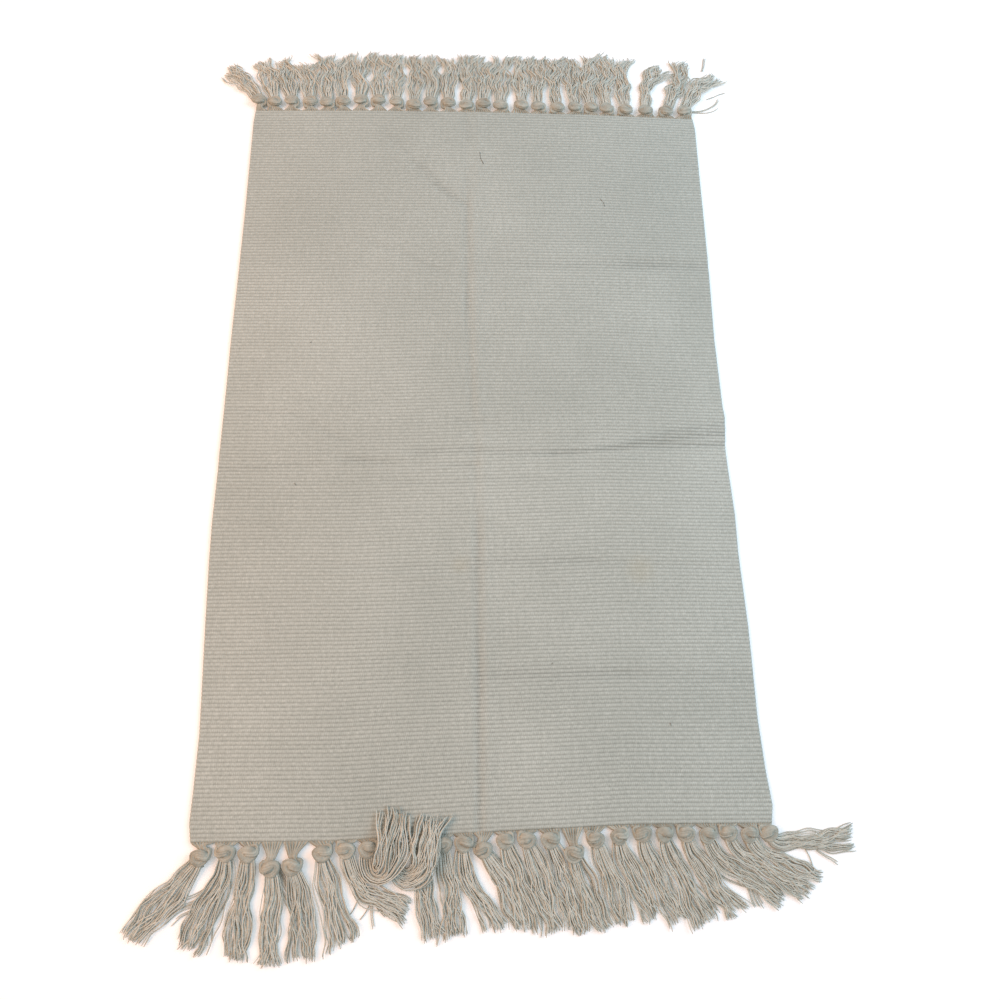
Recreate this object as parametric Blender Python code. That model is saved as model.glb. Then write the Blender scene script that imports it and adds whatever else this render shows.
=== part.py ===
"""Throw rug: a flat ribbed cotton rug with a knotted fringe at both ends.

The rug lies on a floor at z = 0 with its length along Y and its near end at -Y.
Sizes below are in millimetres and are turned to metres as each mesh is made.
The woven field is one sheet with a flat underside and its cross ribs raised on top.
Each tassel is one solid: a neck of warps at the cloth's edge, a knot, and its locks.
"""
import math

import bmesh
import bpy
from mathutils import Vector

MM = 0.001

# Woven field
RIB_COUNT = 214
RIB_CREST = 3.4
RIB_TROUGH = 2.5
CREASE_HALF = 9.0
CREASE_DEPTH = 0.7
CREASE_X_NEAR = -7.5
CREASE_X_FAR = -6.0
LEAST_THICKNESS = 1.6

# Side outline. Columns: place along the cloth from the near end (0) to the far end (1),
# left edge, right edge.
SIDES = (
    (0.000, -297.5, 301.0),
    (0.020, -300.1, 304.0),
    (0.060, -298.8, 300.8),
    (0.116, -297.9, 298.6),
    (0.226, -301.2, 299.6),
    (0.320, -303.6, 297.6),
    (0.370, -304.0, 298.6),
    (0.435, -302.6, 297.6),
    (0.525, -301.6, 298.3),
    (0.625, -300.7, 297.6),
    (0.726, -298.6, 300.2),
    (0.845, -296.9, 302.0),
    (0.980, -296.2, 303.8),
    (1.000, -294.6, 301.8),
)

# The two ends waver. Columns: place across, near end, far end.
ENDS = (
    (-300, -455.3, 450.6),
    (-150, -458.0, 454.2),
    (-7, -454.2, 455.8),
    (150, -450.6, 455.4),
    (300, -453.6, 451.6),
)

# Cross creases left by folding. Columns: along at the left edge, the middle and the right
# edge, then the depth at each of those places, then half the crease's width.
CREASES = (
    (240, 232, 208, 0.0, 0.35, 0.7, 9),
    (-50, -31, -8, 0.6, 0.7, 0.75, 10),
    (-84, -78, -74, 0.3, 0.4, 0.0, 8),
    (-66, -12, -39, 0.0, 0.0, 0.5, 7),
)

# Tassels
GAP = 0.45
LEAST_DROP = 8.0
NECK_WIDTH = 15.0
KNOT_WIDTH = 17.0
KNOT_LENGTH = 15.0
KNOT_HEIGHT = 9.5
LOCKS_NEAR = 5
LOCKS_FAR = 4
LOCK_PIECES = 4
BEND_PER_PIECE = 22.0
LOCK_FILL = 0.78
LOCK_HEIGHT_ROOT = 5.0
LOCK_HEIGHT_TIP = 2.0

# Columns: number from the left, place of the knot across, drop of the knot from the
# cloth's end, lean of the locks at the knot and at the tip (degrees, towards +X), the
# part of the length over which the lean changes, length of the locks, width of the bundle.
TASSELS_NEAR = (
    (1, -285.6, 12.5, -35, -41, 0.30, 92, 18),
    (2, -261.1, 9.0, 4, -24, 0.45, 90, 18),
    (3, -238.3, 9.8, -3, -5, 0.20, 90, 17),
    (4, -216.0, 23.8, 12, 0, 0.30, 84, 17),
    (5, -194.5, 22.2, 20, 8, 0.50, 84, 17),
    (6, -164.6, 10.0, 9, 16, 0.20, 86, 18),
    (7, -141.7, 8.0, 10, 65, 0.70, 92, 12),
    (10, -69.0, 8.0, 7, 14, 0.80, 84, 14),
    (11, -43.6, 8.2, 8, 8, 0.50, 84, 13),
    (12, -22.1, 8.2, -4, 36, 0.60, 84, 14),
    (13, -3.0, 15.5, 34, 24, 1.00, 80, 13),
    (14, 20.0, 8.0, 16, 24, 0.30, 86, 14),
    (15, 42.0, 8.4, 24, 15, 1.00, 86, 15),
    (16, 66.4, 9.3, 24, 17, 1.00, 88, 15),
    (17, 90.0, 24.0, 20, 19, 1.00, 74, 14),
    (18, 113.0, 11.6, 18, 20, 1.00, 80, 16),
    (19, 138.2, 9.5, 3, 28, 0.40, 80, 16),
    (20, 162.4, 8.4, 5, 28, 0.40, 86, 16),
    (21, 185.6, 8.4, 5, 27, 0.30, 90, 16),
    (22, 207.8, 8.4, 11, 36, 0.40, 88, 15),
    (23, 230.9, 9.5, 18, 56, 0.42, 98, 11),
    (24, 252.8, 8.2, 20, 58, 0.36, 96, 10),
    (25, 275.0, 9.2, 22, 64, 0.42, 82, 10),
    (26, 295.5, 8.2, 22, 92, 0.24, 92, 12),
)
TASSELS_FAR = (
    (1, -290.0, 15.0, -30, -44, 0.50, 68, 18),
    (2, -269.5, 12.0, -12, -22, 1.00, 70, 18),
    (3, -246.1, 13.5, -12, -15, 1.00, 70, 18),
    (4, -221.8, 12.5, -5, -12, 0.40, 66, 19),
    (5, -199.2, 10.5, -5, -4, 1.00, 80, 17),
    (6, -178.4, 13.0, -1, -3, 0.30, 76, 17),
    (7, -154.0, 15.0, -1, -3, 1.00, 75, 19),
    (8, -131.0, 15.0, -1, 1, 1.00, 79, 19),
    (9, -106.0, 12.9, -3, 0, 0.40, 82, 19),
    (10, -82.8, 8.6, 4, -3, 1.00, 82, 18),
    (11, -59.8, 13.0, 4, -3, 1.00, 76, 18),
    (12, -36.0, 12.5, 1, 4, 0.40, 76, 19),
    (13, -11.2, 8.6, 3, 4, 0.30, 86, 18),
    (14, 11.6, 12.0, 3, 5, 0.30, 74, 17),
    (15, 35.5, 9.2, 1, 4, 0.90, 84, 18),
    (16, 64.0, 11.3, -2, 3, 1.00, 84, 18),
    (17, 87.5, 9.0, 0, 3, 1.00, 87, 19),
    (18, 113.3, 8.6, -3, 1, 1.00, 87, 19),
    (19, 138.0, 9.1, -4, 2, 0.80, 84, 18),
    (20, 160.4, 9.8, -4, 3, 0.70, 88, 17),
    (21, 182.0, 9.0, -4, 3, 0.30, 86, 17),
    (22, 208.0, 8.6, -2, 1, 0.60, 84, 19),
    (23, 236.0, 8.6, 1, 24, 0.70, 82, 18),
    (24, 264.5, 9.5, 24, 18, 1.00, 86, 16),
    (25, 290.5, 10.5, 20, 42, 0.60, 80, 17),
)

# Two near tassels double back and lie over the cloth. Columns: number, place of the knot
# across, drop, width of the bundle, then the stations that the locks pass through:
# across, along, height of the underside.
TASSELS_TURNED = (
    (8, -119.0, 8.0, 12.5, (
        (-118.6, -480.0, 0.0),
        (-115.4, -489.0, 1.6),
        (-108.0, -491.0, 4.2),
        (-101.0, -483.5, 7.6),
        (-95.5, -467.0, 11.4),
        (-92.0, -454.0, 8.4),
        (-90.5, -445.0, 4.3),
        (-88.5, -433.0, 4.0),
    )),
    (9, -94.6, 8.0, 11.5, (
        (-93.6, -480.0, 0.0),
        (-90.0, -489.0, 1.0),
        (-82.0, -494.0, 2.4),
        (-73.0, -492.5, 4.6),
        (-65.0, -485.5, 8.6),
        (-60.0, -470.0, 12.0),
        (-57.0, -454.0, 8.8),
        (-55.6, -445.0, 4.3),
        (-54.0, -437.0, 4.0),
    )),
)

CLOTH_COLOUR = (0.36, 0.335, 0.285, 1.0)
FRINGE_COLOUR = (0.31, 0.28, 0.235, 1.0)


def between(rows, key, column):
    """Straight-line reading of one column of a table at a key."""
    if key <= rows[0][0]:
        return rows[0][column]
    for low, high in zip(rows, rows[1:]):
        if key <= high[0]:
            part = (key - low[0]) / (high[0] - low[0])
            return low[column] + (high[column] - low[column]) * part
    return rows[-1][column]


def smooth(value):
    value = min(max(value, 0.0), 1.0)
    return value * value * (3.0 - 2.0 * value)


def fabric(name, colour, roughness):
    material = bpy.data.materials.new(name)
    material.use_nodes = True
    shader = material.node_tree.nodes["Principled BSDF"]
    shader.inputs["Base Color"].default_value = colour
    shader.inputs["Roughness"].default_value = roughness
    material.diffuse_color = colour
    return material


def finish(name, mesh, material):
    """Turn a millimetre bmesh into a triangulated object in metres."""
    bmesh.ops.scale(mesh, vec=Vector((MM, MM, MM)), verts=mesh.verts)
    bmesh.ops.triangulate(mesh, faces=mesh.faces)
    bmesh.ops.recalc_face_normals(mesh, faces=mesh.faces)
    if mesh.calc_volume(signed=True) < 0:
        bmesh.ops.reverse_faces(mesh, faces=mesh.faces)
    data = bpy.data.meshes.new(name)
    mesh.to_mesh(data)
    mesh.free()
    data.materials.append(material)
    thing = bpy.data.objects.new(name, data)
    bpy.context.scene.collection.objects.link(thing)
    return thing


def crease_drop(across, along, crease_x):
    """How far the top of the cloth sinks at a place, for all its creases."""
    drop = CREASE_DEPTH * (1.0 - smooth(abs(across - crease_x) / CREASE_HALF))
    for left, middle, right, deep_left, deep_middle, deep_right, half in CREASES:
        side = min(abs(across) / 300.0, 1.0)
        line = middle + ((left if across < 0 else right) - middle) * side
        deep = deep_middle + ((deep_left if across < 0 else deep_right) - deep_middle) * side
        drop += deep * (1.0 - smooth(abs(along - line) / half))
    return drop


def woven_field(material):
    mesh = bmesh.new()
    rows = 2 * RIB_COUNT
    stations = sorted({round(place * rows) for place, left, right in SIDES})
    top = []
    for row in range(rows + 1):
        part = row / rows
        low = max(station for station in stations if station <= row)
        high = min(station for station in stations if station >= row)
        share = 0.0 if high == low else (row - low) / (high - low)
        edges = []
        for column in (1, 2):
            start = between(SIDES, low / rows, column)
            edges.append(start + (between(SIDES, high / rows, column) - start) * share)
        crease_x = CREASE_X_NEAR + (CREASE_X_FAR - CREASE_X_NEAR) * part
        line = []
        places = (edges[0], -150.0, crease_x - CREASE_HALF, crease_x,
                  crease_x + CREASE_HALF, 150.0, edges[1])
        for across in places:
            table_place = math.copysign(300, across) if across in edges else across
            near = between(ENDS, table_place, 1)
            far = between(ENDS, table_place, 2)
            along = near + (far - near) * part
            height = RIB_CREST if row % 2 else RIB_TROUGH
            height -= crease_drop(across, along, crease_x)
            line.append(mesh.verts.new((across, along, max(height, LEAST_THICKNESS))))
        top.append(line)
    for lower, upper in zip(top, top[1:]):
        for column in range(len(lower) - 1):
            mesh.faces.new((lower[column], lower[column + 1], upper[column + 1], upper[column]))
    left_foot = {row: mesh.verts.new((top[row][0].co.x, top[row][0].co.y, 0)) for row in stations}
    right_foot = {row: mesh.verts.new((top[row][-1].co.x, top[row][-1].co.y, 0)) for row in stations}
    feet = {}
    for row in (0, rows):
        inner = [mesh.verts.new((vert.co.x, vert.co.y, 0)) for vert in top[row][1:-1]]
        feet[row] = [left_foot[row]] + inner + [right_foot[row]]
        for column in range(len(feet[row]) - 1):
            mesh.faces.new((top[row][column], top[row][column + 1],
                            feet[row][column + 1], feet[row][column]))
    for low, high in zip(stations, stations[1:]):
        for foot, column in ((left_foot, 0), (right_foot, -1)):
            edge = [top[row][column] for row in range(low, high + 1)]
            mesh.faces.new(edge + [foot[high], foot[low]])
        front = feet[low] if low == 0 else [left_foot[low], right_foot[low]]
        back = feet[high] if high == rows else [left_foot[high], right_foot[high]]
        mesh.faces.new(front + back[::-1])
    return finish("woven_field", mesh, material)


def ring(mesh, centre, heading, width, height, locks, lift, foot=0.0):
    """One cross-section of a tassel: flat feet below and one ridge a lock above.

    The section stands square to the heading (radians from straight out, towards +X, as a
    pair of plan directions) and its outer feet are lifted to round the knot's underside.
    """
    side = Vector((heading[1], -heading[0], 0.0))
    feet = []
    ridges = []
    for index in range(locks + 1):
        place = index / locks - 0.5
        outer = lift if index in (0, locks) else 0.0
        feet.append(mesh.verts.new(centre + side * place * width + Vector((0, 0, foot + outer))))
    for index in range(locks):
        place = (index + 0.5) / locks - 0.5
        rise = math.sqrt(max(1.0 - (place * 1.55) ** 2, 0.2))
        ridges.append(mesh.verts.new(centre + side * place * width * 0.96
                                     + Vector((0, 0, foot + height * rise))))
    return feet, ridges


def bridge(mesh, first, second):
    """Walls between two cross-sections."""
    outline_a = first[0] + first[1][::-1]
    outline_b = second[0] + second[1][::-1]
    count = len(outline_a)
    for index in range(count):
        following = (index + 1) % count
        mesh.faces.new((outline_a[index], outline_a[following],
                        outline_b[following], outline_b[index]))


def tassel(name, material, across, drop, stations, width, locks, out):
    """A neck, a knot and its locks as one closed body.

    Stations run from the knot's outer end: centre, plan heading, height, half fan.
    """
    mesh = bmesh.new()
    column = 2 if out > 0 else 1
    edge = between(ENDS, across, column)
    drop = max(drop, LEAST_DROP)
    first_heading = stations[0][1]
    straight = Vector((0.0, out, 0.0))
    half_way = (straight + first_heading).normalized()
    knot = Vector((across, edge + out * drop, 0.0))
    sections = (
        (Vector((across, edge, 0.0)), straight, NECK_WIDTH, 3.1, 0.0),
        (knot - straight * KNOT_LENGTH * 0.43, straight, NECK_WIDTH * 0.86, 5.0, 0.6),
        (knot - straight * KNOT_LENGTH * 0.12, straight, KNOT_WIDTH, KNOT_HEIGHT, 2.4),
        (knot + half_way * KNOT_LENGTH * 0.22, half_way, KNOT_WIDTH * 0.97, KNOT_HEIGHT * 0.94, 2.2),
        (stations[0][0], first_heading, min(width, KNOT_WIDTH * 0.78), LOCK_HEIGHT_ROOT, 0.0),
    )
    previous = None
    for centre, heading, across_width, height, lift in sections:
        current = ring(mesh, centre, heading, across_width, height, locks, lift)
        if previous is None:
            for vert in current[0] + current[1]:
                vert.co.y = between(ENDS, vert.co.x, column) + out * GAP
            mesh.faces.new(current[0] + current[1][::-1])
        else:
            bridge(mesh, previous, current)
        previous = current
    feet, ridges = previous
    for index in range(locks - 1):
        mesh.faces.new((ridges[index], feet[index + 1], ridges[index + 1]))
    for index in range(locks):
        place = (index + 0.5) / locks - 0.5
        corners = (feet[index], feet[index + 1], ridges[index])
        for centre, heading, height, spread in stations[1:]:
            side = Vector((heading.y, -heading.x, 0.0))
            middle = centre + side * place * spread
            half = side * spread / locks * LOCK_FILL * 0.5
            level = Vector((0, 0, centre.z))
            base = Vector((middle.x, middle.y, 0)) + level
            new = (mesh.verts.new(base - half), mesh.verts.new(base + half),
                   mesh.verts.new(base + Vector((0, 0, height))))
            for corner in range(3):
                following = (corner + 1) % 3
                mesh.faces.new((corners[corner], corners[following], new[following], new[corner]))
            corners = new
        mesh.faces.new(corners)
    return finish(name, mesh, material)


def lying_stations(across, drop, lean_knot, lean_tip, bend, reach, width, pieces, out):
    """Stations of a tassel that lies level on the floor."""
    edge = between(ENDS, across, 2 if out > 0 else 1)
    spot = Vector((across, edge + out * max(drop, LEAST_DROP), 0.0))
    steps = 24
    trail = []
    for step in range(steps + 1):
        lean = lean_knot + (lean_tip - lean_knot) * smooth(step / steps / bend)
        heading = Vector((math.sin(math.radians(lean)), out * math.cos(math.radians(lean)), 0))
        trail.append((spot.copy(), heading))
        spot = spot + heading * reach / steps
    root = KNOT_LENGTH * 0.5 / reach
    stations = []
    for piece in range(pieces + 1):
        part = root + (1.0 - root) * piece / pieces
        low = min(int(part * steps), steps - 1)
        share = part * steps - low
        centre = trail[low][0].lerp(trail[low + 1][0], share)
        heading = trail[low][1].lerp(trail[low + 1][1], share).normalized()
        height = LOCK_HEIGHT_ROOT + (LOCK_HEIGHT_TIP - LOCK_HEIGHT_ROOT) * min(2 * part, 1.0) ** 0.6
        stations.append((centre, heading, height, width * (0.86 + 0.14 * min(3 * part, 1.0))))
    return stations


def turned_stations(across, drop, width, points):
    """Stations of a tassel that doubles back over the cloth."""
    edge = between(ENDS, across, 1)
    start = Vector((across, edge - max(drop, LEAST_DROP) - KNOT_LENGTH * 0.5, 0.0))
    places = [start] + [Vector(point) for point in points]
    stations = []
    for index, place in enumerate(places):
        before = places[max(index - 1, 0)]
        after = places[min(index + 1, len(places) - 1)]
        heading = Vector((after.x - before.x, after.y - before.y, 0)).normalized()
        if index == 0:
            heading = Vector((0, -1, 0))
        part = index / (len(places) - 1)
        height = LOCK_HEIGHT_ROOT + (LOCK_HEIGHT_TIP - LOCK_HEIGHT_ROOT) * min(3 * part, 1.0)
        stations.append((place, heading, height, width * (0.84 + 0.3 * max(part - 0.5, 0.0))))
    return stations


for thing in list(bpy.data.objects):
    bpy.data.objects.remove(thing)

cloth_cotton = fabric("cloth_cotton", CLOTH_COLOUR, 0.9)
fringe_cotton = fabric("fringe_cotton", FRINGE_COLOUR, 0.9)

woven_field(cloth_cotton)
for end, table, locks, out in (("near", TASSELS_NEAR, LOCKS_NEAR, -1.0),
                               ("far", TASSELS_FAR, LOCKS_FAR, 1.0)):
    for number, across, drop, knot, tip, bend, reach, width in table:
        pieces = LOCK_PIECES + round(abs(tip - knot) / BEND_PER_PIECE)
        path = lying_stations(across, drop, knot, tip, bend, reach, width, pieces, out)
        tassel(f"tassel_{end}_{number:02d}", fringe_cotton, across, drop, path, width, locks, out)
for number, across, drop, width, points in TASSELS_TURNED:
    path = turned_stations(across, drop, width, points)
    tassel(f"tassel_near_{number:02d}", fringe_cotton, across, drop, path, width, LOCKS_NEAR, -1.0)
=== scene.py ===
import math

import bpy
import numpy as np
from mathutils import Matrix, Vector


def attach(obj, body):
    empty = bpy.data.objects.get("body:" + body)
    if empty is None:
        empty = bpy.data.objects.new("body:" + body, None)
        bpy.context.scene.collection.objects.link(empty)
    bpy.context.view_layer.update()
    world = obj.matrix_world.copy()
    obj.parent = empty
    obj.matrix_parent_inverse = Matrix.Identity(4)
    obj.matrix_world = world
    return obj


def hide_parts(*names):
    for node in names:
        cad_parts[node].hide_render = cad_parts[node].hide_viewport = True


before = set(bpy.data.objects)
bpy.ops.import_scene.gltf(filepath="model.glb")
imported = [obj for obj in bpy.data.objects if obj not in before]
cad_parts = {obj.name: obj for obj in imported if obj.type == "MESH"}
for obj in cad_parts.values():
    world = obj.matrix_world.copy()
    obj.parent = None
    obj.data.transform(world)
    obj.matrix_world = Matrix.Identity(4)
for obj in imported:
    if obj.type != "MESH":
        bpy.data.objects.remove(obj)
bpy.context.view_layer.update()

# Camera
# It stands over the near part of the rug and looks down, 73 degrees below the horizon, as
# the photograph does. Its place, in millimetres, was fitted to the cloth's outline.
MM = 0.001
CAMERA_PLACE = (-25.5, -348.0, 849.0)
CAMERA_TURN = (16.52, -2.89, -1.23)
CAMERA_LENS = 27.36
CAMERA_SENSOR = 36.0
CAMERA_NEAREST = 10.0

camera_data = bpy.data.cameras.new("camera")
camera_data.lens = CAMERA_LENS
camera_data.sensor_width = CAMERA_SENSOR
camera_data.clip_start = CAMERA_NEAREST * MM
camera = bpy.data.objects.new("camera", camera_data)
camera.location = [value * MM for value in CAMERA_PLACE]
camera.rotation_euler = [math.radians(value) for value in CAMERA_TURN]
bpy.context.scene.collection.objects.link(camera)
bpy.context.scene.camera = camera


# Sizes in millimetres: half the cloth's thickness on a rib's crest and in the groove
# between two ribs, and the room under it for the folds that sink.
RIB_COUNT = 214
CREST_HALF = 1.48
TROUGH_HALF = 0.94
REST_LIFT = 1.00
FLOOR_CLEARANCE = 0.03
RIB_FATNESS = 0.06
RIB_ROUNDNESS = 0.6
# The selvedge is rounded and shows each rib as a small scallop.
SELVEDGE_ROUND = 1.6
SELVEDGE_THIN = 0.12
SELVEDGE_SCALLOP = 0.45
SCALLOP_REACH = 3.0
# The end ribs are beaten up close and finish rounded, over a part of one rib.
END_ROUND = 0.6
END_THIN = 0.25

# Mesh rows on each rib, and mesh columns: at a selvedge (distance from it), over the centre
# fold (place across), and evenly between them. The underside keeps one column in five.
ROWS_PER_RIB = 5
EDGE_COLUMNS = np.array((0.0, 0.35, 0.9, 1.6, 3.0, 6.0))
FOLD_COLUMNS = np.array((-32.0, -23.0, -18.0, -14.0, -10.0, -6.0, -2.0, 2.0, 7.0, 14.0, 24.0))
COLUMNS_LEFT = 26
COLUMNS_RIGHT = 22
UNDERSIDE_STEP = 5

# Side outline. Columns: place along the cloth from the near end (0) to the far end (1),
# left edge, right edge.
SIDES = np.array((
    (0.000, -297.5, 301.0),
    (0.020, -300.1, 304.0),
    (0.060, -298.8, 300.8),
    (0.116, -297.9, 298.6),
    (0.226, -301.2, 299.6),
    (0.320, -303.6, 297.6),
    (0.370, -304.0, 298.6),
    (0.435, -302.6, 296.6),
    (0.462, -302.3, 296.2),
    (0.492, -302.0, 299.0),
    (0.508, -301.8, 299.5),
    (0.525, -301.6, 298.5),
    (0.625, -300.7, 297.6),
    (0.726, -298.6, 300.2),
    (0.845, -296.9, 302.0),
    (0.980, -296.2, 303.8),
    (1.000, -294.6, 301.8),
))

# The two ends waver. Columns: place across, near end, far end.
ENDS = np.array((
    (-300, -455.3, 450.6),
    (-150, -458.0, 454.2),
    (-7, -454.2, 455.8),
    (150, -450.6, 455.4),
    (300, -453.6, 451.6),
))

# Fold lines. Columns: across and along where the line starts, across and along where it
# ends, rise (less than 0 where the cloth sinks), half its width, how long it fades out.
FOLDS = (
    (-12, 445, -12, 340, -0.25, 5, 30),
    (-12, 306, -13, 165, -0.7, 5, 40),
    (-13, 165, -9, 28, -0.4, 5, 30),
    (-6, -36, -4, -145, -0.3, 5, 40),
    (-4, -145, -5, -300, -0.9, 5, 40),
    (-5, -300, -6, -461, -1.3, 5, 50),
    (-4, 306, -2, 28, 0.5, 6, 40),
    (4, 460, 4, -460, 0.4, 9, 60),
    (68, 216, 211, 218, -0.35, 13, 60),
    (211, 218, 310, 215, -0.55, 15, 30),
    (60, 234, 310, 231, 0.5, 9, 60),
    (12, -38, 101, -39, -0.55, 8, 40),
    (101, -39, 168, -33, -0.9, 6, 40),
    (168, -33, 217, -27, -1.4, 6, 30),
    (210, -33, 310, -28, -1.1, 6, 20),
    (200, -24, 310, -14, -1.1, 8, 40),
    (225, -14, 310, -3, -0.8, 6, 30),
    (100, -12, 310, 10, 0.8, 11, 50),
    (12, -50, 168, -46, 0.5, 7, 40),
    (-22, 2, 8, 0, -0.35, 8, 12),
    (-8, -35, -66, -38, -0.55, 10, 25),
    (-10, -54, -28, -55, -0.6, 6, 15),
    (-32, -77, -85, -77, -0.35, 8, 30),
    (8, -72, 60, -72, -0.3, 8, 30),
    (-119, -50, -146, -47, -0.6, 8, 30),
    (-215, -54, -299, -60, -0.4, 6, 40),
    (-165, -20, -212, 5, -0.35, 7, 25),
    (-242, 13, -271, 15, -0.35, 6, 25),
    (-310, -40, -35, -18, 0.6, 10, 40),
    (-2, -171, 113, -170, -0.4, 11, 40),
    (113, -170, 286, -181, -0.2, 10, 40),
    (-13, -180, -159, -172, -0.2, 8, 40),
    (-13, -190, -159, -182, 0.4, 7, 40),
    (18, -296, 150, -297, -0.5, 12, 40),
    (150, -297, 310, -304, -0.25, 9, 40),
    (186, -403, 310, -407, -0.3, 8, 40),
    (-187, -277, -14, -274, -0.12, 8, 50),
    (-191, -399, -15, -401, -0.12, 8, 50),
    (-282, 169, -35, 176, -0.15, 8, 60),
    (-114, 415, -74, 367, -0.35, 7, 20),
    (-74, 367, -45, 331, -0.6, 7, 20),
    (-45, 331, -19, 309, -0.6, 7, 20),
    (-137, 251, -47, 208, -0.25, 9, 40),
)

# The cloth doesn't lie dead flat: low rolls cross it, 180 to 310 mm apart. Columns: rise,
# stretch of a wave across, its stretch along, its start.
ROLLS = (
    (0.22, 83.0, 61.0, 0.7),
    (0.18, 47.0, -112.0, 2.1),
    (0.14, 210.0, 29.0, 4.0),
)
# A rib wanders a little as it crosses the cloth, but not at the two ends.
RIB_WAVES = (
    (0.35, 71.0, 90.0, 0.0),
    (0.25, 33.0, 37.0, 1.0),
)
STRAIGHT_END = 0.025

# The warps of such a cloth lie about 1 mm apart. They are drawn 2 mm apart, to show.
WARP_PITCH = 2.0
WARP_RISE = 0.35
# Painted shade in the grooves between ribs and painted light on their crests: factors on the cloth's
# colour.
GROOVE_SHADE = 0.70
CREST_SHADE = 1.045
# How dark the painted shade in the sunken fold lines is.
FOLD_PAINTED_SHADE = 0.24
# Two faint yellowish marks on the near half, with ragged rims, in millimetres. Columns:
# across, along, reach, strength.
MARKS = (
    (181, -182, 30, 0.16),
    (-24, -174, 22, 0.14),
)
MARK_HEIGHT = 3
MARK_RAGGED = 12


def linear_colour(code):
    """sRGB hex to the linear values that a shader's socket holds."""
    values = [int(code[i:i + 2], 16) / 255 for i in (0, 2, 4)]
    return [v / 12.92 if v <= 0.04045 else ((v + 0.055) / 1.055) ** 2.4 for v in values] + [1.0]


def add_node(material, kind, inputs=None, **options):
    """Adds one node. Each input, by its name or number, gets a value or a link.

    A node that is given for an input stands for its own first output.
    """
    tree = material.node_tree
    made = tree.nodes.new(kind)
    for name, value in options.items():
        setattr(made, name, value)
    for name, source in (inputs or {}).items():
        if isinstance(source, bpy.types.Node):
            source = source.outputs[0]
        if isinstance(source, bpy.types.NodeSocket):
            tree.links.new(source, made.inputs[name])
        else:
            made.inputs[name].default_value = source
    return made


def undyed_cotton(material, tone, shades):
    """The colour of undyed cotton by its tone. Columns of shades: tone, sRGB hex."""
    ramp = add_node(material, "ShaderNodeValToRGB", {0: tone})
    stops = ramp.color_ramp.elements
    for index, (place, code) in enumerate(shades):
        stop = stops[index] if index < 2 else stops.new(place)
        stop.position = place
        stop.color = linear_colour(code)
    return ramp


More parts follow.
